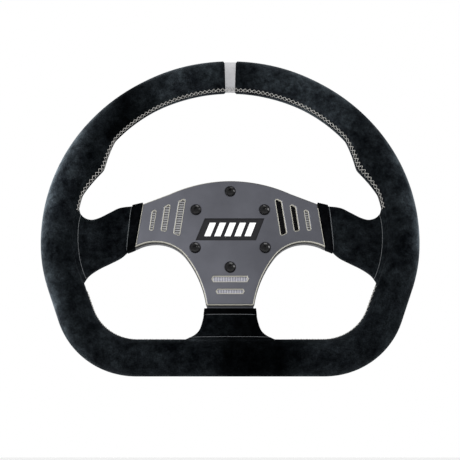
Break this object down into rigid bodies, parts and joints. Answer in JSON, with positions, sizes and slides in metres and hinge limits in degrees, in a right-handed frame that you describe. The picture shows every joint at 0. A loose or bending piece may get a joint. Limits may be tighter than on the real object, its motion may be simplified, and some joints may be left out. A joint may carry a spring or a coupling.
{
  "type": "quick release steering wheel",
  "caption": "Flat-bottomed suede racing steering wheel with spokes and a grey anodised face plate, bolted to the sliding-collar hub half of a quick release",
  "frame": {"origin": "centre of the mouth of the column socket at the rear of the quick release hub, on the steering axis", "axes": "+Y along the steering axis away from the driver, out of the column socket; the driver looks along +Y at the face plate; +Z to the top of the wheel, where the centre band is; +X to the driver's right"},
  "size_m": [0.3282, 0.0752, 0.292],
  "materials": {
    "suede": "napped suede",
    "hem_suede": "napped suede",
    "band_leather": "smooth grey leather",
    "foam": "moulded polyurethane foam",
    "core_tube": "drawn tube",
    "frame_aluminium": "dark anodised",
    "plate_aluminium": "grey anodised, bright chamfers",
    "slot_inlay": "ribbed, matt black",
    "emblem_tile": "matt",
    "emblem_bars": "gloss white",
    "black_screw": "black oxide",
    "hub_aluminium": "black anodised",
    "spline_steel": "broached steel",
    "collar_aluminium": "silver anodised",
    "spring_steel": "spring steel",
    "ring_steel": "phosphated",
    "ball_steel": "polished"
  },
  "bodies": {
    "wheel": {"rim_cover_upper_left": "suede", "rim_cover_upper_right": "suede", "rim_cover_lower_left": "suede", "rim_cover_lower_right": "suede", "spoke_cover_left": "suede", "spoke_cover_right": "suede", "spoke_cover_bottom": "suede", "spoke_hem_left": "hem_suede", "spoke_hem_right": "hem_suede", "spoke_hem_bottom": "hem_suede", "centre_band": "band_leather", "rim_foam": "foam", "rim_core": "core_tube", "spoke_frame": "frame_aluminium", "face_plate": "plate_aluminium", "slot_inlay_inner_left": "slot_inlay", "slot_inlay_inner_right": "slot_inlay", "slot_inlay_middle_left": "slot_inlay", "slot_inlay_middle_right": "slot_inlay", "slot_inlay_outer_left": "slot_inlay", "slot_inlay_outer_right": "slot_inlay", "slot_inlay_bottom_upper": "slot_inlay", "slot_inlay_bottom_lower": "slot_inlay", "emblem_tile": "emblem_tile", "emblem_bars": "emblem_bars", "face_screws": "black_screw", "hub_body": "hub_aluminium", "hub_cap": "hub_aluminium", "spline_insert": "spline_steel", "collar_spring": "spring_steel", "retaining_ring": "ring_steel"},
    "collar": {"release_collar": "collar_aluminium"},
    "ball_1": {"locking_ball_1": "ball_steel"},
    "ball_2": {"locking_ball_2": "ball_steel"},
    "ball_3": {"locking_ball_3": "ball_steel"},
    "ball_4": {"locking_ball_4": "ball_steel"},
    "ball_5": {"locking_ball_5": "ball_steel"},
    "ball_6": {"locking_ball_6": "ball_steel"}
  },
  "joints": [
    {"name": "collar_slide", "type": "slide", "parent": "wheel", "child": "collar", "axis": [0, -1, 0], "range_m": [0, 0.008], "stiffness_N_per_m": 1500, "springref_m": -0.006, "deforming": ["collar_spring"]},
    {"name": "ball_1_slide", "type": "slide", "parent": "wheel", "child": "ball_1", "axis": [0.5, 0, 0.866], "range_m": [0, 0.0012]},
    {"name": "ball_2_slide", "type": "slide", "parent": "wheel", "child": "ball_2", "axis": [-0.5, 0, 0.866], "range_m": [0, 0.0012]},
    {"name": "ball_3_slide", "type": "slide", "parent": "wheel", "child": "ball_3", "axis": [-1, 0, 0], "range_m": [0, 0.0012]},
    {"name": "ball_4_slide", "type": "slide", "parent": "wheel", "child": "ball_4", "axis": [-0.5, 0, -0.866], "range_m": [0, 0.0012]},
    {"name": "ball_5_slide", "type": "slide", "parent": "wheel", "child": "ball_5", "axis": [0.5, 0, -0.866], "range_m": [0, 0.0012]},
    {"name": "ball_6_slide", "type": "slide", "parent": "wheel", "child": "ball_6", "axis": [1, 0, 0], "range_m": [0, 0.0012]}
  ],
  "couplings": [
    {"joint": "ball_1_slide", "follows": "collar_slide", "ratio": 0.15},
    {"joint": "ball_2_slide", "follows": "collar_slide", "ratio": 0.15},
    {"joint": "ball_3_slide", "follows": "collar_slide", "ratio": 0.15},
    {"joint": "ball_4_slide", "follows": "collar_slide", "ratio": 0.15},
    {"joint": "ball_5_slide", "follows": "collar_slide", "ratio": 0.15},
    {"joint": "ball_6_slide", "follows": "collar_slide", "ratio": 0.15}
  ]
}
